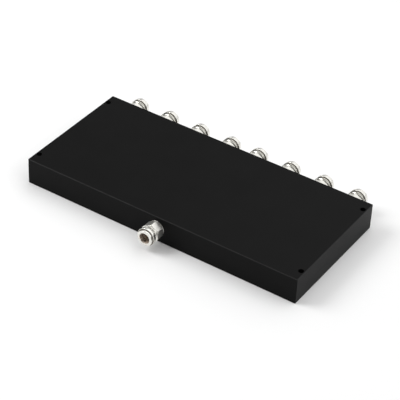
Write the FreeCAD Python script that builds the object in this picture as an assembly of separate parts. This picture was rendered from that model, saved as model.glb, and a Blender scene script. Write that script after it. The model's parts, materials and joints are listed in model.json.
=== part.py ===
import FreeCAD, Part

import os

from FreeCAD import Placement, Rotation, Vector

# Eight-way UHF combiner: a flat milled aluminium housing with the common coaxial
# jack at the middle of its front face and eight branch jacks along its back face.
# The housing is open underneath, holds a printed board with seven two-way
# combining loops against its roof, and is closed by a base cover let into a rebate.
# Millimetres. X runs along the housing, Y from front to back, Z up. The origin is
# the middle of the housing's underside.

# Places of the jacks
ports_per_side = 4
port_pitch = 32.0
middle_pitch = 27.4
port_to_end = 20.3
port_axis_height = 13.0
top_above_axis = 11.0

# Housing
housing_width = 118.0
edge_chamfer = 0.4
long_wall = 9.0
pocket_past_port = 5.3
pocket_corner_radius = 5.0

# Holes in the corners for fixing the combiner down
fixing_hole_radius = 2.4
fixing_hole_outer_web = 0.9
fixing_hole_inner_web = 1.3
fixing_hole_from_side = 10.9

# Base cover, let into a rebate, and its countersunk screws
cover_thickness = 1.5
cover_clearance = 0.15
cover_corner_radius = 3.0
rebate_rim = 1.8
screw_radius = 1.5
screw_head_radius = 2.95
screw_length = 7.0
screw_clearance = 0.1
thread_clearance = 0.05
tapping_allowance = 1.0

# Jack body: spigot in the wall, hexagon, threaded barrel and nose
spigot_radius = 6.0
spigot_short_of_pocket = 0.3
hex_across_flats = 13.5
hex_length = 6.8
barrel_radius = 7.94
barrel_length = 8.6
nose_radius = 7.2
nose_length = 1.6
mouth_radius = 4.4
mouth_depth = 9.1

# Insulator and centre contact of the common jack
contact_radius = 1.52
contact_tip_depth = 4.5
contact_bore_radius = 0.83
contact_bore_depth = 5.0
press_clearance = 0.02
tab_width = 1.4
tab_thickness = 0.5
tab_length = 4.0

# Printed board and its copper
board_clearance = 0.6
board_thickness = 1.5
copper_thickness = 0.1
solder_gap = 0.02
line_width = 4.0
arm_width = 2.3
loop_width = 20.0
loop_depth = 12.0
loop_gap = 3.0
stage_lead = 5.0
stage_riser = 5.0

# Isolation resistor across each loop's gap
resistor_length = 6.4
resistor_width = 3.2
resistor_thickness = 0.8

# Outline and levels that follow from the sizes above
port_places = [middle_pitch / 2 + port_pitch * k for k in range(ports_per_side)]
housing_length = 2 * (port_places[-1] + port_to_end)
housing_height = port_axis_height + top_above_axis
end_wall = port_to_end - pocket_past_port
pocket_length = housing_length - 2 * end_wall
pocket_width = housing_width - 2 * long_wall
track_level = port_axis_height + tab_thickness / 2 + solder_gap
board_level = track_level + copper_thickness
pocket_roof = board_level + board_thickness

# Corner holes, rebate and cover screws
fixing_hole_x = housing_length / 2 - fixing_hole_outer_web - fixing_hole_radius
fixing_hole_y = housing_width / 2 - fixing_hole_from_side
rebate_end_rim = fixing_hole_outer_web + 2 * fixing_hole_radius + fixing_hole_inner_web
cover_length = housing_length - 2 * (rebate_end_rim + cover_clearance)
cover_width = housing_width - 2 * (rebate_rim + cover_clearance)
screw_x = housing_length / 2 - (rebate_end_rim + end_wall) / 2
screw_y = housing_width / 2 - (rebate_rim + long_wall) / 2

# Levels along a jack, measured outwards from the wall that it stands on
spigot_end = -(long_wall - spigot_short_of_pocket)
barrel_end = hex_length + barrel_length
jack_face = barrel_end + nose_length
reference_plane = jack_face - mouth_depth
contact_tip = jack_face - contact_tip_depth
tab_end = -(long_wall + tab_length)

# Board outline
board_length = pocket_length - 2 * board_clearance
board_width = pocket_width - 2 * board_clearance
stage_pitch = board_width / 3


def rounded_block(length, width, bottom, top, radius):
    block = Part.makeBox(length, width, top - bottom, Vector(-length / 2, -width / 2, bottom))
    uprights = [e for e in block.Edges if abs(e.tangentAt(e.FirstParameter).z) > 0.5]
    return block.makeFillet(radius, uprights)


def round_bar(radius, bottom, top, x=0.0, y=0.0):
    return Part.makeCylinder(radius, top - bottom, Vector(x, y, bottom))


def strip(x_from, x_to, y_from, y_to):
    low = Vector(min(x_from, x_to), min(y_from, y_to), track_level)
    return Part.makeBox(abs(x_to - x_from), abs(y_to - y_from), copper_thickness, low)


def at_port(shape, x, side):
    quarter_turn = Rotation(Vector(1, 0, 0), 90)
    facing = Rotation(Vector(0, 0, 1), 0 if side < 0 else 180)
    place = Vector(x, side * housing_width / 2, port_axis_height)
    return shape.transformed(Placement(place, facing * quarter_turn).toMatrix())


def corners(x, y):
    return [(sx * x, sy * y) for sx in (-1, 1) for sy in (-1, 1)]


branch_port_places = [-x for x in reversed(port_places)] + port_places
screw_places = corners(screw_x, screw_y)


def housing():
    block = Part.makeBox(housing_length, housing_width, housing_height,
                         Vector(-housing_length / 2, -housing_width / 2, 0))
    block = block.makeChamfer(edge_chamfer, block.Edges)
    cuts = [rounded_block(pocket_length, pocket_width, 0, pocket_roof, pocket_corner_radius),
            rounded_block(cover_length + 2 * cover_clearance, cover_width + 2 * cover_clearance,
                          0, cover_thickness, cover_corner_radius)]
    for x, y in corners(fixing_hole_x, fixing_hole_y):
        cuts.append(round_bar(fixing_hole_radius, 0, housing_height, x, y))
    for x, y in screw_places:
        cuts.append(round_bar(screw_radius + thread_clearance, cover_thickness,
                              screw_length + tapping_allowance, x, y))
    bore = round_bar(spigot_radius + thread_clearance, -long_wall, 0)
    cuts.append(at_port(bore, 0, -1))
    cuts += [at_port(bore, x, 1) for x in branch_port_places]
    return block.cut(cuts)


def base_cover():
    plate = rounded_block(cover_length, cover_width, 0, cover_thickness,
                          cover_corner_radius - cover_clearance)
    sink = Part.makeCone(screw_head_radius + screw_clearance, screw_radius + screw_clearance,
                         cover_thickness)
    return plate.cut([sink.translated(Vector(x, y, 0)) for x, y in screw_places])


def cover_screws():
    head = Part.makeCone(screw_head_radius, screw_radius, cover_thickness)
    screw = head.fuse(round_bar(screw_radius, cover_thickness, screw_length)).removeSplitter()
    return Part.makeCompound([screw.translated(Vector(x, y, 0)) for x, y in screw_places])


def circuit_board():
    board = Part.makeBox(board_length, board_width, board_thickness,
                         Vector(-board_length / 2, -board_width / 2, board_level))
    uprights = [e for e in board.Edges if abs(e.tangentAt(e.FirstParameter).z) > 0.5]
    return board.makeChamfer(pocket_corner_radius - board_clearance, uprights)


# Each stage of the tree joins pairs of lines: four loops nearest the branch jacks,
# then two, then the one that feeds the common jack.
def stage_places():
    stages = []
    places = branch_port_places
    while len(places) > 1:
        pairs = list(zip(places[0::2], places[1::2]))
        stages.insert(0, pairs)
        places = [(left + right) / 2 for left, right in pairs]
    return stages


def loop_centre(stage, pair):
    start = -board_width / 2 + stage * stage_pitch
    return sum(pair) / 2, start + stage_lead + loop_depth / 2


def combining_loop(stage, pair):
    x, y = loop_centre(stage, pair)
    bottom, top = y - loop_depth / 2, y + loop_depth / 2
    start, end = bottom - stage_lead, -board_width / 2 + (stage + 1) * stage_pitch
    half_line, half_arm = line_width / 2, arm_width / 2
    pieces = [strip(x - half_line, x + half_line, start, bottom),
              strip(x - loop_width / 2, x + loop_width / 2, bottom - half_arm, bottom + half_arm)]
    for side, output in ((-1, pair[0]), (1, pair[1])):
        edge = x + side * loop_width / 2
        inner = x + side * loop_gap / 2
        outer = inner + side * line_width
        pieces += [strip(edge - half_arm, edge + half_arm, bottom - half_arm, top + half_arm),
                   strip(inner, edge, top - half_arm, top + half_arm),
                   strip(inner, outer, top, top + stage_riser + half_line),
                   strip(inner, output, top + stage_riser - half_line, top + stage_riser + half_line),
                   strip(output - half_line, output + half_line,
                         top + stage_riser - half_line, end)]
    return pieces


def copper_tracks(stages):
    pieces = [piece for stage, pairs in enumerate(stages) for pair in pairs
              for piece in combining_loop(stage, pair)]
    return pieces[0].fuse(pieces[1:]).removeSplitter()


def isolation_resistor(stage, pair):
    x, y = loop_centre(stage, pair)
    low = Vector(x - resistor_length / 2, y + loop_depth / 2 - resistor_width / 2,
                 track_level - resistor_thickness)
    return Part.makeBox(resistor_length, resistor_width, resistor_thickness, low)


# The branch jacks repeat eight times, so their barrels run out to the face without
# the narrower nose of the common jack.
def jack_body(with_nose):
    corner_radius = hex_across_flats / 3 ** 0.5
    corner_points = [Rotation(Vector(0, 0, 1), 90 + 60 * k).multVec(Vector(corner_radius, 0, 0))
                     for k in range(6)]
    outline = Part.Face(Part.makePolygon(corner_points + corner_points[:1]))
    spigot = round_bar(spigot_radius, spigot_end, 0)
    hexagon = outline.extrude(Vector(0, 0, hex_length))
    barrel = round_bar(barrel_radius, hex_length, barrel_end if with_nose else jack_face)
    body = hexagon.fuse([spigot, barrel])
    if with_nose:
        body = body.fuse(round_bar(nose_radius, barrel_end, jack_face))
    return body.cut(round_bar(mouth_radius, spigot_end, jack_face)).removeSplitter()


def jack_insulator():
    sleeve = round_bar(mouth_radius - press_clearance, spigot_end, reference_plane)
    return sleeve.cut(round_bar(contact_radius + press_clearance, spigot_end, reference_plane))


def jack_contact():
    pin = round_bar(contact_radius, spigot_end, contact_tip)
    tab = Part.makeBox(tab_width, tab_thickness, spigot_end - tab_end,
                       Vector(-tab_width / 2, -tab_thickness / 2, tab_end))
    bore = round_bar(contact_bore_radius, contact_tip - contact_bore_depth, contact_tip)
    return pin.fuse(tab).cut(bore)


def main():
    stages = stage_places()
    nodes = {"housing": housing(),
             "base_cover": base_cover(),
             "cover_screws": cover_screws(),
             "circuit_board": circuit_board(),
             "copper_tracks": copper_tracks(stages)}
    loops = [(stage, pair) for stage, pairs in enumerate(stages) for pair in pairs]
    for number, (stage, pair) in enumerate(loops, 1):
        nodes[f"isolation_resistor_{number}"] = isolation_resistor(stage, pair)
    nodes["common_jack_body"] = at_port(jack_body(True), 0, -1)
    nodes["common_jack_insulator"] = at_port(jack_insulator(), 0, -1)
    nodes["common_jack_contact"] = at_port(jack_contact(), 0, -1)
    for number, x in enumerate(branch_port_places, 1):
        nodes[f"branch_jack_{number}_body"] = at_port(jack_body(False), x, 1)

    os.makedirs("parts", exist_ok=True)
    for name, shape in nodes.items():
        shape.exportStep(f"parts/{name}.step")


main()
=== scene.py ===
import json
import math

import bmesh
import bpy
from mathutils import Euler, Matrix, Vector


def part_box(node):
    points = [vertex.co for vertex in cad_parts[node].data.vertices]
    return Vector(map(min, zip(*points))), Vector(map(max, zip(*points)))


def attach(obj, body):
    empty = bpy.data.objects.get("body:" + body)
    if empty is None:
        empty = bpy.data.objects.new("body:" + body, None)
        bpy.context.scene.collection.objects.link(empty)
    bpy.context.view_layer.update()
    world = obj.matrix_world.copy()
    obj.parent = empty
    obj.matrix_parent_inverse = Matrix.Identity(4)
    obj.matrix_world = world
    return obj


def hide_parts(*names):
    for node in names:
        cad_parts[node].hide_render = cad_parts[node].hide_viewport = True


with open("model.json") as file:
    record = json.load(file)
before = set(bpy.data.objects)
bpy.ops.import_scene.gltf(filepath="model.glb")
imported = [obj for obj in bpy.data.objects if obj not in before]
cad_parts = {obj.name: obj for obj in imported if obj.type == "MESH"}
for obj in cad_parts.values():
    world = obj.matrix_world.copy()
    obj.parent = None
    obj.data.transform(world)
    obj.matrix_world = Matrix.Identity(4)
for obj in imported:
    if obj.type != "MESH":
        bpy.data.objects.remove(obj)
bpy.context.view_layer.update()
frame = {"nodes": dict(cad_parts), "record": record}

# Eight-way UHF combiner. The housing, base cover, board and tracks are the packed
# solids with their finishes. The jacks, cover screws and resistors are made here.
# Sizes of pieces are millimetres, turned into metres by MM where a mesh is made. Weld
# distance, bump heights and the studio are in metres.

MM = 0.001
JACK_SEGMENTS = 96
CONTACT_SEGMENTS = 48
SCREW_SEGMENTS = 48

# Points this near each other are one, and edges that turn by fewer degrees than this are
# shaded smooth
WELD = 1e-6
SMOOTH_BELOW = 34

# Turns of a thread wound before its start, and again past its end, so that the whole ring
# of points reaches both
SPARE_TURNS = 2

# A jack, measured outwards from the wall that it stands on
SPIGOT_RADIUS = 6.0
SPIGOT_END = -8.7
WASHER_BORE = 6.15
WASHER_RADIUS = 6.9
WASHER_THICKNESS = 0.4
NECK_RADIUS = 6.3
HEX_START = 0.75
HEX_END = 8.3
HEX_ACROSS_FLATS = 13.5
HEX_CHAMFER = 0.55
GROOVE_RADIUS = 6.95
THREAD_START = 8.7
THREAD_END = 11.6
BARREL_RADIUS = 7.94
THREAD_ROOT = 7.3
THREAD_PITCH = 25.4 / 24
COLLAR_START = 12.4
COLLAR_END = 14.9
COLLAR_EDGE = 0.35
NOSE_GROOVE_RADIUS = 6.4
NOSE_START = 15.3
NOSE_RADIUS = 6.95
NOSE_EDGE = 0.25
JACK_FACE = 17.0
MOUTH_RADIUS = 4.4
MOUTH_LEAD = 0.45
REFERENCE_PLANE = 7.9

# Centre contact and insulator of a jack
CONTACT_RADIUS = 1.52
CONTACT_TIP = 12.5
CONTACT_BORE_RADIUS = 0.83
CONTACT_BORE_DEPTH = 5.0
CONTACT_SLOT = 0.3
CONTACT_SLOT_DEPTH = 4.3
PRESS_CLEARANCE = 0.02
TAB_WIDTH = 1.4
TAB_THICKNESS = 0.5
TAB_END = -13.0

# Cover screws, measured upwards from the face of the head
SCREW_RADIUS = 1.5
SCREW_ROOT = 1.2
SCREW_PITCH = 0.5
SCREW_HEAD_RADIUS = 2.95
SCREW_HEAD = 1.5
SCREW_END = 7.0
SOCKET_ACROSS_FLATS = 2.0
SOCKET_DEPTH = 1.1
SOCKET_POINT = 1.4

# The finishes of a jack's body, and their places in its list: where it is turned, in its
# grooves and its bore, which get dark brass as painted shade, and on the flats of its hexagon
BODY_FINISHES = ("nickel_plated_brass", "groove_painted_shade", "bore_painted_shade", "satin_nickel")
TURNED, GROOVE, BORE, FLAT = range(len(BODY_FINISHES))


# Node trees

class Wire:
    """An output socket of a node. Arithmetic and comparisons on it add Math nodes."""

    def __init__(self, bench, socket):
        self.bench, self.socket = bench, socket

    def maths(self, operation, first, second=0.0):
        return self.bench.node("ShaderNodeMath", {"operation": operation}, {0: first, 1: second})

    def beside(self, name):
        """Another output of the same node."""
        return Wire(self.bench, self.bench.pick(self.socket.node.outputs, name))

    def cosine(self):
        return self.maths("COSINE", self)

    def sine(self):
        return self.maths("SINE", self)

    def __add__(self, other):
        return self.maths("ADD", self, other)

    def __radd__(self, other):
        return self.maths("ADD", other, self)

    def __sub__(self, other):
        return self.maths("SUBTRACT", self, other)

    def __rsub__(self, other):
        return self.maths("SUBTRACT", other, self)

    def __mul__(self, other):
        return self.maths("MULTIPLY", self, other)

    def __rmul__(self, other):
        return self.maths("MULTIPLY", other, self)

    def __truediv__(self, other):
        return self.maths("DIVIDE", self, other)

    def __rtruediv__(self, other):
        return self.maths("DIVIDE", other, self)

    def __gt__(self, other):
        return self.maths("GREATER_THAN", self, other)

    def __lt__(self, other):
        return self.maths("LESS_THAN", self, other)

    def __mod__(self, other):
        return self.maths("FLOORED_MODULO", self, other)

    def __rmod__(self, other):
        return self.maths("FLOORED_MODULO", other, self)

    def __abs__(self):
        return self.maths("ABSOLUTE", self)


class Bench:
    """A node tree on which nodes are placed and wired."""

    def __init__(self, tree):
        self.tree = tree
        tree.nodes.clear()

    def node(self, kind, settings=None, sockets=None, output=0):
        """Adds a node, makes its settings and then gives its sockets values or links. A list
        gives one socket several links. The wire that comes back is the output asked for."""
        made = self.tree.nodes.new(kind)
        for name, value in (settings or {}).items():
            if name == "stops":
                self.set_stops(made.color_ramp, value)
            else:
                setattr(made, name, value)
        for name, value in (sockets or {}).items():
            socket = self.pick(made.inputs, name)
            for part in value if isinstance(value, list) else [value]:
                if isinstance(part, Wire):
                    self.tree.links.new(part.socket, socket)
                else:
                    socket.default_value = part
        return Wire(self, self.pick(made.outputs, output) if made.outputs else None)

    def pick(self, sockets, name):
        """The socket at this place, or the one in use that has this name."""
        if isinstance(name, int):
            return sockets[name]
        return next(socket for socket in sockets if socket.name == name and socket.enabled)

    def set_stops(self, ramp, stops):
        while len(ramp.elements) < len(stops):
            ramp.elements.new(1.0)
        for element, (place, colour) in zip(ramp.elements, stops):
            element.position, element.color = place, (*colour, 1.0)

    def mix_colour(self, factor, first, second):
        plain = [c if isinstance(c, Wire) else (*c, 1.0) for c in (first, second)]
        return self.node("ShaderNodeMix", {"data_type": "RGBA"},
                         {"Factor": factor, "A": plain[0], "B": plain[1]}, "Result")


def grey(level):
    return (level, level, level)


# Meshes

def made_object(name, mesh):
    thing = bpy.data.objects.new(name, mesh)
    bpy.context.scene.collection.objects.link(thing)
    return thing


def workpiece(name, shape, finish):
    mesh = bpy.data.meshes.new(name)
    shape.to_mesh(mesh)
    shape.free()
    mesh.materials.append(finish)
    return made_object(name, mesh)


def ring_of(shape, height, radius_at, segments):
    ring = []
    for k in range(segments):
        angle = 2 * math.pi * k / segments
        radius = radius_at(angle)
        ring.append(shape.verts.new((radius * math.cos(angle) * MM, radius * math.sin(angle) * MM,
                                     height * MM)))
    return ring


def round_at(radius):
    return lambda angle: radius


def flats_at(radius, across_flats):
    """The turned radius, cut back to the flats of a hexagon that has a corner at the top."""
    sixth = math.pi / 3

    def cut(angle):
        from_flat = (angle - math.pi / 2) % sixth - sixth / 2
        return min(radius, across_flats / 2 / math.cos(from_flat))

    return cut


def turned(stations, segments, closed=False):
    """A turned shape from (height, radius) stations, given so that the metal lies on their left
    when they are followed with the radius drawn to the right. A radius function may stand for a
    radius, and the radius 0 closes the shape on its axis."""
    shape = bmesh.new()
    rings = []
    for height, radius in stations:
        if radius == 0:
            rings.append([shape.verts.new((0, 0, height * MM))])
        else:
            at = radius if callable(radius) else round_at(radius)
            rings.append(ring_of(shape, height, at, segments))
    pairs = list(zip(rings, rings[1:] + rings[:1])) if closed else list(zip(rings, rings[1:]))
    for low, high in pairs:
        for k in range(segments):
            after = (k + 1) % segments
            if len(low) == 1:
                shape.faces.new((low[0], high[after], high[k]))
            elif len(high) == 1:
                shape.faces.new((low[k], low[after], high[0]))
            else:
                shape.faces.new((low[k], low[after], high[after], high[k]))
    return shape


def plain_mesh(thing):
    """Turns what the modifiers make into the object's own mesh, in one finish."""
    graph = bpy.context.evaluated_depsgraph_get()
    mesh = bpy.data.meshes.new_from_object(thing.evaluated_get(graph))
    thing.modifiers.clear()
    thing.data = mesh
    finish = next(material for material in mesh.materials if material)
    mesh.materials.clear()
    mesh.materials.append(finish)
    mesh.polygons.foreach_set("material_index", [0] * len(mesh.polygons))


def finished(thing, node):
    """Closes and shades a piece, and lets it ride on the part, in place of its CAD node where
    it has one."""
    mesh = thing.data
    shape = bmesh.new()
    shape.from_mesh(mesh)
    bmesh.ops.remove_doubles(shape, verts=shape.verts, dist=WELD)
    bmesh.ops.dissolve_degenerate(shape, edges=shape.edges, dist=WELD / 10)
    bmesh.ops.recalc_face_normals(shape, faces=shape.faces)
    shape.to_mesh(mesh)
    shape.free()
    mesh.shade_smooth()
    mesh.set_sharp_from_angle(angle=math.radians(SMOOTH_BELOW))
    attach(thing, "root")
    if node:
        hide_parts(node)


# Geometry Nodes

def tree_inputs(tree, sockets):
    for name, kind in sockets:
        tree.interface.new_socket(name, in_out="INPUT", socket_type="NodeSocket" + kind)
    tree.interface.new_socket("Geometry", in_out="OUTPUT", socket_type="NodeSocketGeometry")


def apply_tree(thing, tree, values):
    """Runs a tree on an object, with values for its named inputs, and keeps the plain mesh."""
    modifier = thing.modifiers.new(tree.name, "NODES")
    modifier.node_group = tree
    names = {item.name: item.identifier for item in tree.interface.items_tree
             if item.in_out == "INPUT"}
    for name, value in values.items():
        modifier[names[name]] = value
    plain_mesh(thing)


def turns_between(start, end, pitch):
    return math.ceil((end - start) / pitch) + 2 * SPARE_TURNS


def threaded_tree():
    """Winds a screw thread between Start and End, welds it into the gap that the turned blank
    leaves there, and sets the piece at Place, turned by Facing."""
    tree = bpy.data.node_groups.new("screw_thread", "GeometryNodeTree")
    tree_inputs(tree, [("Geometry", "Geometry"), ("Crest radius", "Float"), ("Root radius", "Float"),
                       ("Pitch", "Float"), ("Start", "Float"), ("End", "Float"),
                       ("Segments", "Int"), ("Turns", "Int"), ("Place", "Vector"),
                       ("Facing", "Rotation"), ("Finish", "Material")])
    bench = Bench(tree)
    inlet = tree.nodes.new("NodeGroupInput")
    given = {socket.name: Wire(bench, socket) for socket in inlet.outputs if socket.name}

    # Four rows of points to each turn: foot, crest, crest, foot
    rows = given["Turns"] * 4
    grid = bench.node("GeometryNodeMeshGrid", None,
                      {"Vertices X": given["Segments"] + 1, "Vertices Y": rows})
    index = bench.node("GeometryNodeInputIndex")
    row = index % rows
    turn = (index - row) / rows / given["Segments"]
    corner = row % 4
    from_crest = corner - 1.5
    high = abs(from_crest) < 1.0
    # In pitches: the flats of the crest and the root, and the length over which the thread fades
    crest_flat, root_flat, fade = 1 / 8, 1 / 4, 0.6
    offset = from_crest * (high * crest_flat + (1 - high) * ((1 - root_flat) / 3))
    wound = (row - corner) / 4 - SPARE_TURNS + turn + offset
    along = given["Start"] + given["Pitch"] * wound
    height = bench.node("ShaderNodeClamp", None,
                        {"Value": along, "Min": given["Start"], "Max": given["End"]})
    run_out = given["Pitch"] * fade
    fade_in = bench.node("ShaderNodeClamp", None, {"Value": (height - given["Start"]) / run_out})
    fade_out = bench.node("ShaderNodeClamp", None, {"Value": (given["End"] - height) / run_out})
    depth = given["Crest radius"] - given["Root radius"]
    radius = given["Root radius"] + depth * high * fade_in * fade_out
    angle = turn * (2 * math.pi)
    place = bench.node("ShaderNodeCombineXYZ", None,
                       {"X": radius * angle.cosine(), "Y": radius * angle.sine(), "Z": height})
    thread = bench.node("GeometryNodeSetPosition", None, {"Geometry": grid, "Position": place})
    joined = bench.node("GeometryNodeJoinGeometry", None, {"Geometry": [given["Geometry"], thread]})
    welded = bench.node("GeometryNodeMergeByDistance", None, {"Geometry": joined, "Distance": WELD})
    moved = bench.node("GeometryNodeTransform", None,
                       {"Geometry": welded, "Translation": given["Place"],
                        "Rotation": given["Facing"]})
    real = bench.node("GeometryNodeRealizeInstances", None, {"Geometry": moved})
    dressed = bench.node("GeometryNodeSetMaterial", None,
                         {"Geometry": real, "Material": given["Finish"]})
    bench.node("NodeGroupOutput", None, {"Geometry": dressed})
    return tree


def set_out_tree():
    """Sets a copy of Part on every point of the object, turned about Z by its "turn"."""
    tree = bpy.data.node_groups.new("set_out", "GeometryNodeTree")
    tree_inputs(tree, [("Geometry", "Geometry"), ("Part", "Object"), ("Finish", "Material")])
    bench = Bench(tree)
    inlet = tree.nodes.new("NodeGroupInput")
    given = {socket.name: Wire(bench, socket) for socket in inlet.outputs if socket.name}
    part = bench.node("GeometryNodeObjectInfo", None, {"Object": given["Part"]}, "Geometry")
    turn = bench.node("GeometryNodeInputNamedAttribute", {"data_type": "FLOAT"}, {"Name": "turn"})
    facing = bench.node("ShaderNodeCombineXYZ", None, {"Z": turn})
    copies = bench.node("GeometryNodeInstanceOnPoints", None,
                        {"Points": given["Geometry"], "Instance": part, "Rotation": facing})
    real = bench.node("GeometryNodeRealizeInstances", None, {"Geometry": copies})
    dressed = bench.node("GeometryNodeSetMaterial", None,
                         {"Geometry": real, "Material": given["Finish"]})
    bench.node("NodeGroupOutput", None, {"Geometry": dressed})
    return tree


# Finishes

def new_finish(name):
    material = bpy.data.materials.new(name)
    material.use_nodes = True
    return material, Bench(material.node_tree)


def object_point(bench):
    return bench.node("ShaderNodeTexCoord", None, None, "Object")


def noise(bench, scale, detail=2.0, stretch=None):
    point = object_point(bench)
    if stretch:
        point = bench.node("ShaderNodeMapping", None, {"Vector": point, "Scale": stretch})
    return bench.node("ShaderNodeTexNoise", None,
                      {"Vector": point, "Scale": scale, "Detail": detail}, "Fac")


def bump(bench, height, strength, distance):
    return bench.node("ShaderNodeBump", None,
                      {"Height": height, "Strength": strength, "Distance": distance})


def close_finish(bench, sockets):
    shader = bench.node("ShaderNodeBsdfPrincipled", None, sockets)
    bench.node("ShaderNodeOutputMaterial", None, {"Surface": shader})


def black_anodised():
    """Bead-blasted aluminium, dyed black: a fine even grain and a faint cloudiness, with a
    painted highlight coloured onto the broken edges and countersinks."""
    material, bench = new_finish("black_anodised")
    grain = noise(bench, 4200, 3.0)
    clouds = noise(bench, 38, 3.0)
    colour = bench.mix_colour(clouds, grey(0.0042), grey(0.0062))
    # Only broken edges and countersinks slope. The other faces are level or upright.
    facing = bench.node("ShaderNodeTexCoord", None, None, "Normal")
    slope = abs(bench.node("ShaderNodeSeparateXYZ", None, {"Vector": facing}, "Z"))
    # Painted highlight: the sloped faces, broken edges and countersinks, are coloured lighter than
    # the rest
    painted_edge_highlight = (slope > 0.3) * (slope < 0.95)
    colour = bench.mix_colour(painted_edge_highlight, colour, grey(0.032))
    close_finish(bench, {"Base Color": colour,
                         "Roughness": 0.36 + (grain - 0.5) * 0.12 + (clouds - 0.5) * 0.06,
                         "Specular IOR Level": 0.055,
                         "Normal": bump(bench, grain, 0.35, 0.00003)})
    return material


def nickel_plate(name, roughness):
    """Nickel over brass, with fine tool lines round the jack and a warm tint. It is bright on
    what was turned and satin on what was milled."""
    material, bench = new_finish(name)
    lines = noise(bench, 1.0, 2.0, (600, 14000, 600))
    clouds = noise(bench, 420, 2.0)
    colour = bench.mix_colour(clouds, (0.80, 0.787, 0.74), (0.86, 0.85, 0.805))
    close_finish(bench, {"Base Color": colour, "Metallic": 0.95,
                         "Roughness": roughness + (lines - 0.5) * 0.1 + (clouds - 0.5) * 0.06,
                         "Normal": bump(bench, lines, 0.25, 0.00001)})
    return material


def painted_shade_brass(name, dark, light, contrast):
    """Thinly plated brass, coloured dark brown in random patches as painted shade for a jack's
    hollows.
    """
    material, bench = new_finish(name)
    clouds = noise(bench, 700, 3.0)
    patches = bench.node("ShaderNodeClamp", None, {"Value": 0.5 + (clouds - 0.5) * contrast})
    colour = bench.mix_colour(patches, dark, light)
    close_finish(bench, {"Base Color": colour, "Metallic": 0.4,
                         "Roughness": 0.5 + (clouds - 0.5) * 0.2, "Specular IOR Level": 0.3,
                         "Normal": bump(bench, clouds, 0.3, 0.00002)})
    return material


def white_insulator():
    """Turned white fluoroplastic, a little waxy."""
    material, bench = new_finish("white_insulator")
    clouds = noise(bench, 900, 3.0)
    colour = bench.mix_colour(clouds, (0.80, 0.79, 0.76), (0.87, 0.86, 0.83))
    close_finish(bench, {"Base Color": colour, "Roughness": 0.48 + (clouds - 0.5) * 0.12,
                         "Normal": bump(bench, clouds, 0.3, 0.00002)})
    return material


def gilt_contact():
    """Gold plate on a turned spring contact."""
    material, bench = new_finish("gilt_contact")
    lines = noise(bench, 1.0, 2.0, (800, 16000, 800))
    colour = bench.mix_colour(lines, (0.40, 0.27, 0.11), (0.52, 0.36, 0.16))
    close_finish(bench, {"Base Color": colour, "Metallic": 1.0,
                         "Roughness": 0.3 + (lines - 0.5) * 0.12,
                         "Normal": bump(bench, lines, 0.2, 0.00001)})
    return material


def screw_steel():
    """Plain steel with faint lathe marks."""
    material, bench = new_finish("screw_steel")
    marks = noise(bench, 2600, 3.0)
    colour = bench.mix_colour(marks, grey(0.50), grey(0.62))
    close_finish(bench, {"Base Color": colour, "Metallic": 1.0,
                         "Roughness": 0.32 + (marks - 0.5) * 0.16,
                         "Normal": bump(bench, marks, 0.25, 0.00001)})
    return material


def board_laminate():
    """Woven glass laminate: two crossed sets of threads under a green resin."""
    material, bench = new_finish("board_laminate")
    point = object_point(bench)
    threads = [bench.node("ShaderNodeTexWave", {"wave_type": "BANDS", "bands_direction": way},
                          {"Vector": point, "Scale": 260.0, "Distortion": 0.6,
                           "Detail Scale": 2.0}, "Fac") for way in "XY"]
    weave = threads[0] * threads[1]
    colour = bench.mix_colour(weave, (0.075, 0.23, 0.11), (0.13, 0.36, 0.17))
    close_finish(bench, {"Base Color": colour, "Roughness": 0.42 + weave * 0.12,
                         "Normal": bump(bench, weave, 0.3, 0.00003)})
    return material


def bare_copper():
    """Etched copper, brushed along the lines and slightly dulled in patches."""
    material, bench = new_finish("copper")
    brushed = noise(bench, 1.0, 3.0, (300, 6000, 300))
    dull = noise(bench, 160, 3.0)
    colour = bench.mix_colour(dull, (0.85, 0.47, 0.30), (0.66, 0.33, 0.20))
    close_finish(bench, {"Base Color": colour, "Metallic": 1.0,
                         "Roughness": 0.28 + (brushed - 0.5) * 0.14 + dull * 0.1,
                         "Normal": bump(bench, brushed, 0.25, 0.00002)})
    return material


def resistor_body():
    """Black glaze over the film of a chip resistor."""
    material, bench = new_finish("resistor")
    specks = noise(bench, 3000, 3.0)
    colour = bench.mix_colour(specks, grey(0.018), grey(0.035))
    close_finish(bench, {"Base Color": colour, "Roughness": 0.36 + (specks - 0.5) * 0.2,
                         "Normal": bump(bench, specks, 0.3, 0.00002)})
    return material


def resistor_ends():
    """Tinned wrap-round ends of a chip resistor."""
    material, bench = new_finish("resistor_tin")
    ripples = noise(bench, 1800, 2.0)
    colour = bench.mix_colour(ripples, (0.62, 0.62, 0.60), (0.78, 0.78, 0.76))
    close_finish(bench, {"Base Color": colour, "Metallic": 1.0,
                         "Roughness": 0.3 + (ripples - 0.5) * 0.2,
                         "Normal": bump(bench, ripples, 0.3, 0.00002)})
    return material


# Jacks

def arc(centre_height, centre_radius, radius, start, end, steps=5):
    """Stations on a rounded edge, from one angle to another, in degrees from the outward radius
    towards the height."""
    stations = []
    for k in range(steps + 1):
        angle = math.radians(start + (end - start) * k / steps)
        stations.append((centre_height + radius * math.sin(angle),
                         centre_radius + radius * math.cos(angle)))
    return stations


def hex_stations():
    """The hexagon: a chamfered turned band, cut back to its flats."""
    corner_radius = HEX_ACROSS_FLATS / math.sqrt(3)
    inside_flats = 0.12
    start_radius = HEX_ACROSS_FLATS / 2 - inside_flats
    steps = 8
    ramp = []
    for k in range(steps + 1):
        share = k / steps
        ramp.append((HEX_CHAMFER * share, start_radius + (corner_radius - start_radius) * share))
    band = [(HEX_START + height, radius) for height, radius in ramp]
    band += [(HEX_END - height, radius) for height, radius in reversed(ramp)]
    return [(height, flats_at(radius, HEX_ACROSS_FLATS)) for height, radius in band]


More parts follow.
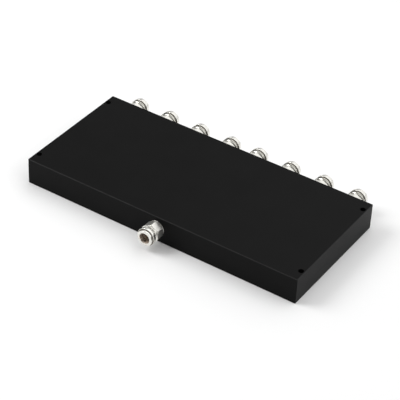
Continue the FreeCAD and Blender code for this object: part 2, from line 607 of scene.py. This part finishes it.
def jack_blank():
    """A jack's body without its thread. The stations run from the foot of the thread down to
    the spigot, through the bore, and over the nose back to the head of the thread."""
    edge, lip = 0.3, 0.08
    outside = [(THREAD_START, THREAD_ROOT), (THREAD_START, GROOVE_RADIUS), (HEX_END, GROOVE_RADIUS)]
    outside += list(reversed(hex_stations()))
    outside += [(HEX_START, NECK_RADIUS), (WASHER_THICKNESS, NECK_RADIUS),
                (WASHER_THICKNESS, SPIGOT_RADIUS), (SPIGOT_END + edge, SPIGOT_RADIUS),
                (SPIGOT_END, SPIGOT_RADIUS - edge)]
    inside = [(SPIGOT_END, MOUTH_RADIUS), (JACK_FACE - MOUTH_LEAD, MOUTH_RADIUS),
              (JACK_FACE - lip, MOUTH_RADIUS + MOUTH_LEAD - lip),
              (JACK_FACE, MOUTH_RADIUS + MOUTH_LEAD)]
    nose = list(reversed(arc(JACK_FACE - NOSE_EDGE, NOSE_RADIUS - NOSE_EDGE, NOSE_EDGE, 0, 90)))
    nose += [(NOSE_START, NOSE_RADIUS), (NOSE_START, NOSE_GROOVE_RADIUS),
             (COLLAR_END, NOSE_GROOVE_RADIUS)]
    rim = BARREL_RADIUS - COLLAR_EDGE
    collar = list(reversed(arc(COLLAR_END - COLLAR_EDGE, rim, COLLAR_EDGE, 0, 90)))
    collar += list(reversed(arc(COLLAR_START + COLLAR_EDGE, rim, COLLAR_EDGE, -90, 0)))
    collar += [(COLLAR_START, GROOVE_RADIUS), (THREAD_END, GROOVE_RADIUS), (THREAD_END, THREAD_ROOT)]
    return turned(list(reversed(outside + inside + nose + collar)), JACK_SEGMENTS)


def washer():
    """The thin washer between a jack and the wall."""
    edge = 0.12
    return turned([(0, WASHER_BORE), (0, WASHER_RADIUS - edge), (edge, WASHER_RADIUS),
                   (WASHER_THICKNESS - edge, WASHER_RADIUS),
                   (WASHER_THICKNESS, WASHER_RADIUS - edge), (WASHER_THICKNESS, WASHER_BORE)],
                  JACK_SEGMENTS, closed=True)


def insulator():
    """A bead that fills the bore, with a shallow dish round the contact."""
    outer, inner = MOUTH_RADIUS - PRESS_CLEARANCE, CONTACT_RADIUS + PRESS_CLEARANCE
    edge, dish, dish_width, dish_slope = 0.15, 0.35, 0.8, 0.3
    return turned([(SPIGOT_END, inner), (SPIGOT_END, outer - edge), (SPIGOT_END + edge, outer),
                   (REFERENCE_PLANE - edge, outer), (REFERENCE_PLANE, outer - edge),
                   (REFERENCE_PLANE, inner + dish_width + dish_slope),
                   (REFERENCE_PLANE - dish, inner + dish_width),
                   (REFERENCE_PLANE - dish, inner)], JACK_SEGMENTS, closed=True)


def box_shape(low, high):
    shape = bmesh.new()
    bmesh.ops.create_cube(shape, size=1.0)
    size = [b - a for a, b in zip(low, high)]
    middle = [(a + b) / 2 for a, b in zip(low, high)]
    for corner in shape.verts:
        corner.co = Vector([(m + c * s) * MM for m, c, s in zip(middle, corner.co, size)])
    return shape


def contact(finish):
    """A gilt pin, bored and slit into four springs at its tip, with a flat solder tab."""
    edge, lip = 0.15, 0.12
    # How far the tab reaches into the pin, and the slitting tools past its tip
    root, clear = 0.5, 1.0
    rod = turned([(SPIGOT_END, 0), (SPIGOT_END, CONTACT_RADIUS - edge),
                  (SPIGOT_END + edge, CONTACT_RADIUS), (CONTACT_TIP - 2 * edge, CONTACT_RADIUS),
                  (CONTACT_TIP - edge / 2, CONTACT_RADIUS - edge / 3),
                  (CONTACT_TIP, CONTACT_RADIUS - edge), (CONTACT_TIP, CONTACT_BORE_RADIUS + lip),
                  (CONTACT_TIP - lip, CONTACT_BORE_RADIUS),
                  (CONTACT_TIP - CONTACT_BORE_DEPTH, CONTACT_BORE_RADIUS),
                  (CONTACT_TIP - CONTACT_BORE_DEPTH - CONTACT_BORE_RADIUS / 2, 0)], CONTACT_SEGMENTS)
    pin = workpiece("pin_blank", rod, finish)
    half_tab = (TAB_WIDTH / 2, TAB_THICKNESS / 2)
    tools = [("UNION", box_shape((-half_tab[0], -half_tab[1], TAB_END),
                                 (half_tab[0], half_tab[1], SPIGOT_END + root)))]
    for half in ((CONTACT_SLOT / 2, 2 * CONTACT_RADIUS), (2 * CONTACT_RADIUS, CONTACT_SLOT / 2)):
        tools.append(("DIFFERENCE", box_shape((-half[0], -half[1], CONTACT_TIP - CONTACT_SLOT_DEPTH),
                                              (half[0], half[1], CONTACT_TIP + clear))))
    spares = []
    for operation, shape in tools:
        tool = workpiece("tool", shape, finish)
        cut = pin.modifiers.new("cut", "BOOLEAN")
        cut.operation, cut.object, cut.solver = operation, tool, "EXACT"
        spares.append(tool)
    plain_mesh(pin)
    for spare in spares:
        bpy.data.objects.remove(spare)
    return pin


def placed_copy(name, mesh, place):
    copy = made_object(name, mesh.copy())
    copy.data.transform(place)
    return copy


def jack_places():
    """The name, wall point and facing of every jack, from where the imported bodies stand."""
    housing_low, housing_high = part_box("housing")
    places = []
    for node in sorted(frame["nodes"]):
        if not node.endswith("_body"):
            continue
        low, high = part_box(node)
        middle = (low + high) / 2
        at_back = middle.y > 0
        wall = Vector((middle.x, housing_high.y if at_back else housing_low.y, middle.z))
        places.append((node[:-len("_body")], wall, (math.pi / 2, 0, math.pi if at_back else 0)))
    return places


def finish_zone(radius, height, level):
    """The place in a jack body's list of finishes for a face this far from its axis and its
    wall, level with the axis or not: bright where it is turned, dark brass as painted shade
    in the grooves and the bore, satin on the hexagon's flats."""
    slack = 0.01
    in_groove = any(low - slack < height < high + slack for low, high in (
        (THREAD_END, COLLAR_START), (COLLAR_END, NOSE_START)))
    if radius < MOUTH_RADIUS + MOUTH_LEAD:
        return BORE
    if in_groove and radius < BARREL_RADIUS - COLLAR_EDGE + slack:
        return GROOVE
    return FLAT if level and HEX_START < height < HEX_END else TURNED


def finish_zones(mesh, wall, finishes):
    """Gives each face of a jack's body the finish of its zone."""
    most_slope = 0.1
    mesh.materials.clear()
    for name in BODY_FINISHES:
        mesh.materials.append(finishes[name])
    for face in mesh.polygons:
        from_wall = (face.center - wall) / MM
        level = abs(face.normal.y) < most_slope
        face.material_index = finish_zone(math.hypot(from_wall.x, from_wall.z),
                                          abs(from_wall.y), level)


def make_jacks(thread, finishes):
    blank = bpy.data.meshes.new("jack_blank")
    blank.materials.append(finishes["nickel_plated_brass"])
    shape = jack_blank()
    shape.to_mesh(blank)
    shape.free()
    loose = [("washer", workpiece("washer_blank", washer(), finishes["nickel_plated_brass"]),
              "nickel_plated_brass"),
             ("insulator", workpiece("insulator_blank", insulator(), finishes["white_insulator"]),
              "white_insulator"),
             ("contact", contact(finishes["gilt_contact"]), "gilt_contact")]
    turns = turns_between(THREAD_START, THREAD_END, THREAD_PITCH)
    for jack, wall, facing in jack_places():
        body = made_object(jack + "_turned_body", blank.copy())
        apply_tree(body, thread, {
            "Crest radius": BARREL_RADIUS * MM, "Root radius": THREAD_ROOT * MM,
            "Pitch": THREAD_PITCH * MM, "Start": THREAD_START * MM, "End": THREAD_END * MM,
            "Segments": JACK_SEGMENTS, "Turns": turns, "Place": wall, "Facing": Euler(facing),
            "Finish": finishes["nickel_plated_brass"]})
        finish_zones(body.data, wall, finishes)
        finished(body, jack + "_body")
        place = Matrix.Translation(wall) @ Euler(facing).to_matrix().to_4x4()
        for name, model, slot in loose:
            piece = placed_copy(f"{jack}_dressed_{name}", model.data, place)
            node = f"{jack}_{name}"
            finished(piece, node if node in frame["nodes"] else None)
    for _, model, _ in loose:
        bpy.data.objects.remove(model)


# Cover screws and resistors

def screw_blank():
    """A countersunk screw with a hexagon socket, without its thread, and the heights between
    which the thread belongs."""
    # Height above the head and step out from the thread's root, from the neck to the cone
    throat = ((0.3, 0.0), (0.0, 0.2), (-0.1, 0.35))
    # Height and step back of each point of the head's rounded rim
    rim = ((0.12, 0.02), (0.03, 0.06), (0.0, 0.18))
    point, lead = 0.25, 0.08
    # Wider than the socket's corners, so that its flats alone shape it
    uncut = 9.0
    head = [(SCREW_HEAD + rise, SCREW_ROOT + step) for rise, step in throat]
    head += [(height, SCREW_HEAD_RADIUS - back) for height, back in rim]
    head += [(0.0, flats_at(uncut, SOCKET_ACROSS_FLATS + 2 * lead)),
             (lead, flats_at(uncut, SOCKET_ACROSS_FLATS)),
             (SOCKET_DEPTH, flats_at(uncut, SOCKET_ACROSS_FLATS)), (SOCKET_POINT, 0)]
    foot = [(SCREW_END, 0), (SCREW_END, SCREW_ROOT - point), (SCREW_END - point, SCREW_ROOT)]
    shape = turned(list(reversed(head)), SCREW_SEGMENTS)
    tip = turned(list(reversed(foot)), SCREW_SEGMENTS)
    spare = bpy.data.meshes.new("tip")
    tip.to_mesh(spare)
    tip.free()
    shape.from_mesh(spare)
    bpy.data.meshes.remove(spare)
    return shape, head[0][0], foot[-1][0]


def points_object(name, places, turns):
    mesh = bpy.data.meshes.new(name)
    mesh.from_pydata(places, [], [])
    turn = mesh.attributes.new("turn", "FLOAT", "POINT")
    turn.data.foreach_set("value", turns)
    return made_object(name, mesh)


def make_cover_screws(thread, set_out, finish):
    shape, start, end = screw_blank()
    screw = workpiece("screw_blank", shape, finish)
    apply_tree(screw, thread, {
        "Crest radius": SCREW_RADIUS * MM, "Root radius": SCREW_ROOT * MM,
        "Pitch": SCREW_PITCH * MM, "Start": start * MM, "End": end * MM,
        "Segments": SCREW_SEGMENTS, "Turns": turns_between(start, end, SCREW_PITCH),
        "Place": (0, 0, 0), "Facing": Euler(), "Finish": finish})
    low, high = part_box("cover_screws")
    inset = SCREW_HEAD_RADIUS * MM
    places = [(x, y, low.z) for x in (low.x + inset, high.x - inset)
              for y in (low.y + inset, high.y - inset)]
    socket_turns = [0.3, 1.1, 2.0, 0.7]
    screws = points_object("countersunk_cover_screws", places, socket_turns)
    apply_tree(screws, set_out, {"Part": screw, "Finish": finish})
    bpy.data.objects.remove(screw)
    finished(screws, "cover_screws")


def chip_resistor(name, low, high, finishes):
    """A ceramic chip with a glazed top and wrap-round tinned ends."""
    size = (high - low) / MM
    end_length, end_thickness, inset, edge = 0.9, 0.2, 0.06, 0.08
    middle, half = (low + high) / 2 / MM, size / 2
    boxes = [(0, (-half.x + end_thickness, half.x - end_thickness), inset)]
    boxes += [(1, (-half.x, -half.x + end_length), 0.0), (1, (half.x - end_length, half.x), 0.0)]
    joined = bmesh.new()
    for finish, (left, right), shrink in boxes:
        shape = box_shape((middle.x + left, middle.y - half.y + shrink, middle.z - half.z + shrink),
                          (middle.x + right, middle.y + half.y - shrink, middle.z + half.z - shrink))
        bmesh.ops.bevel(shape, geom=shape.edges[:], offset=edge * MM, segments=2, affect="EDGES",
                        profile=0.5)
        for face in shape.faces:
            face.material_index = finish
        spare = bpy.data.meshes.new("part")
        shape.to_mesh(spare)
        shape.free()
        joined.from_mesh(spare)
        bpy.data.meshes.remove(spare)
    piece = workpiece(name, joined, finishes["resistor"])
    piece.data.materials.append(finishes["resistor_tin"])
    return piece


def make_resistors(finishes):
    for node in sorted(frame["nodes"]):
        if node.startswith("isolation_resistor_"):
            low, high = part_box(node)
            finished(chip_resistor("chip_" + node, low, high, finishes), node)


def dress_cad_nodes(finishes):
    """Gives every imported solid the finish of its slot, in which the housing, base cover, board
    and tracks are seen."""
    for subpart in frame["record"]["subparts"]:
        solid = frame["nodes"][subpart["node"]]
        solid.data.materials.clear()
        solid.data.materials.append(finishes[subpart["material_slot"]])


# Studio

def studio_world():
    """A pale surround, the same for every ray, which dims above the horizon in front."""
    # Grey by height, from straight down to straight up
    sky = ((0.0, 0.8), (0.5, 0.8), (0.68, 0.48), (0.86, 0.48), (1.0, 0.7))
    front_dimming, dimmed_from = 0.75, 0.2
    world = bpy.data.worlds.new("studio")
    bpy.context.scene.world = world
    world.use_nodes = True
    bench = Bench(world.node_tree)
    way = bench.node("ShaderNodeTexCoord", None, None, "Generated")
    y = bench.node("ShaderNodeSeparateXYZ", None, {"Vector": way}, "Y")
    z = y.beside("Z")
    stops = [(height, grey(level)) for height, level in sky]
    shade = bench.node("ShaderNodeValToRGB", {"stops": stops}, {"Fac": z * 0.5 + 0.5})
    in_front = bench.node("ShaderNodeClamp", None, {"Value": 0.0 - y})
    above = bench.node("ShaderNodeClamp", None, {"Value": z / dimmed_from})
    light = bench.node("ShaderNodeBackground", None,
                       {"Color": shade, "Strength": 1.0 - in_front * above * front_dimming})
    bench.node("ShaderNodeOutputWorld", None, {"Surface": light})


def studio_floor():
    """A pale floor. The camera, mirrors and glass see a little white of its own in it."""
    half, whiteness = 4.0, 0.04
    mesh = bpy.data.meshes.new("floor")
    mesh.from_pydata([(-half, -half, 0), (half, -half, 0), (half, half, 0), (-half, half, 0)], [],
                     [(0, 1, 2, 3)])
    material, bench = new_finish("floor")
    lit = bench.node("ShaderNodeBsdfDiffuse", None, {"Color": (0.93, 0.93, 0.93, 1)})
    white = bench.node("ShaderNodeEmission", None, {"Color": (1, 1, 1, 1), "Strength": 1.0})
    path = bench.node("ShaderNodeLightPath", None, None, "Is Camera Ray")
    seen = path + path.beside("Is Glossy Ray") + path.beside("Is Transmission Ray")
    share = bench.node("ShaderNodeClamp", None, {"Value": seen}) * whiteness
    mixed = bench.node("ShaderNodeMixShader", None, {0: share, 1: lit, 2: white})
    bench.node("ShaderNodeOutputMaterial", None, {"Surface": mixed})
    mesh.materials.append(material)
    made_object("floor", mesh)


def soft_box(name, place, width, height, power):
    """A rectangular lamp of this size and power in watts, which faces the origin."""
    light = bpy.data.lights.new(name, "AREA")
    light.shape, light.size, light.size_y, light.energy = "RECTANGLE", width, height, power
    lamp = made_object(name, light)
    lamp.location = place
    lamp.rotation_euler = (-Vector(place)).to_track_quat("-Z", "Y").to_euler()


def studio_lamps():
    soft_box("left_key", (-0.9, -0.45, 1.0), 0.75, 0.75, 10.5)
    soft_box("back_key", (0.5, 0.9, 1.15), 2.8, 2.0, 10.5)
    soft_box("overhead", (0.1, 0.4, 1.6), 1.2, 1.2, 2.0)
    soft_box("fill", (1.3, 0.1, 0.9), 1.2, 1.2, 4.0)


def studio_camera():
    """The photograph's viewpoint: turned from straight in front, looking down, slightly rolled."""
    turn, tilt, roll = (math.radians(a) for a in (32.168, 37.2, 2.858))
    data = bpy.data.cameras.new("camera")
    data.sensor_width, data.lens = 36.0, 148.05
    camera = made_object("camera", data)
    ahead = Vector((-math.sin(turn) * math.cos(tilt), math.cos(turn) * math.cos(tilt),
                    -math.sin(tilt)))
    level = Vector((math.cos(turn), math.sin(turn), 0))
    up = level.cross(ahead)
    right = level * math.cos(roll) + up * math.sin(roll)
    aim, distance = Vector((0.0065, -0.0068, 0.012)), 1.3409
    camera.matrix_world = Matrix.Translation(aim - ahead * distance) @ Matrix(
        (right, right.cross(ahead), -ahead)).transposed().to_4x4()
    bpy.context.scene.camera = camera


def main():
    # The plain materials go first, so that the finishes can have the names of their slots
    for plain in list(bpy.data.materials):
        bpy.data.materials.remove(plain)
    finishes = {finish.name: finish for finish in (
        black_anodised(), nickel_plate("nickel_plated_brass", 0.25),
        nickel_plate("satin_nickel", 0.38),
        # Painted shade: dark brass in the grooves of each jack
        painted_shade_brass("groove_painted_shade", (0.1, 0.08, 0.058), (0.19, 0.155, 0.118), 1.0),
        # Painted shade: dark brass in the bore of each jack, with random lighter patches
        painted_shade_brass("bore_painted_shade", (0.1, 0.075, 0.055), (0.9, 0.78, 0.66), 3.5),
        white_insulator(), gilt_contact(), screw_steel(), board_laminate(), bare_copper(),
        resistor_body(), resistor_ends())}
    dress_cad_nodes(finishes)
    thread, set_out = threaded_tree(), set_out_tree()
    make_jacks(thread, finishes)
    make_cover_screws(thread, set_out, finishes["screw_steel"])
    make_resistors(finishes)
    studio_world()
    studio_floor()
    studio_lamps()
    studio_camera()
    bpy.context.scene.view_settings.view_transform = "Standard"


main()
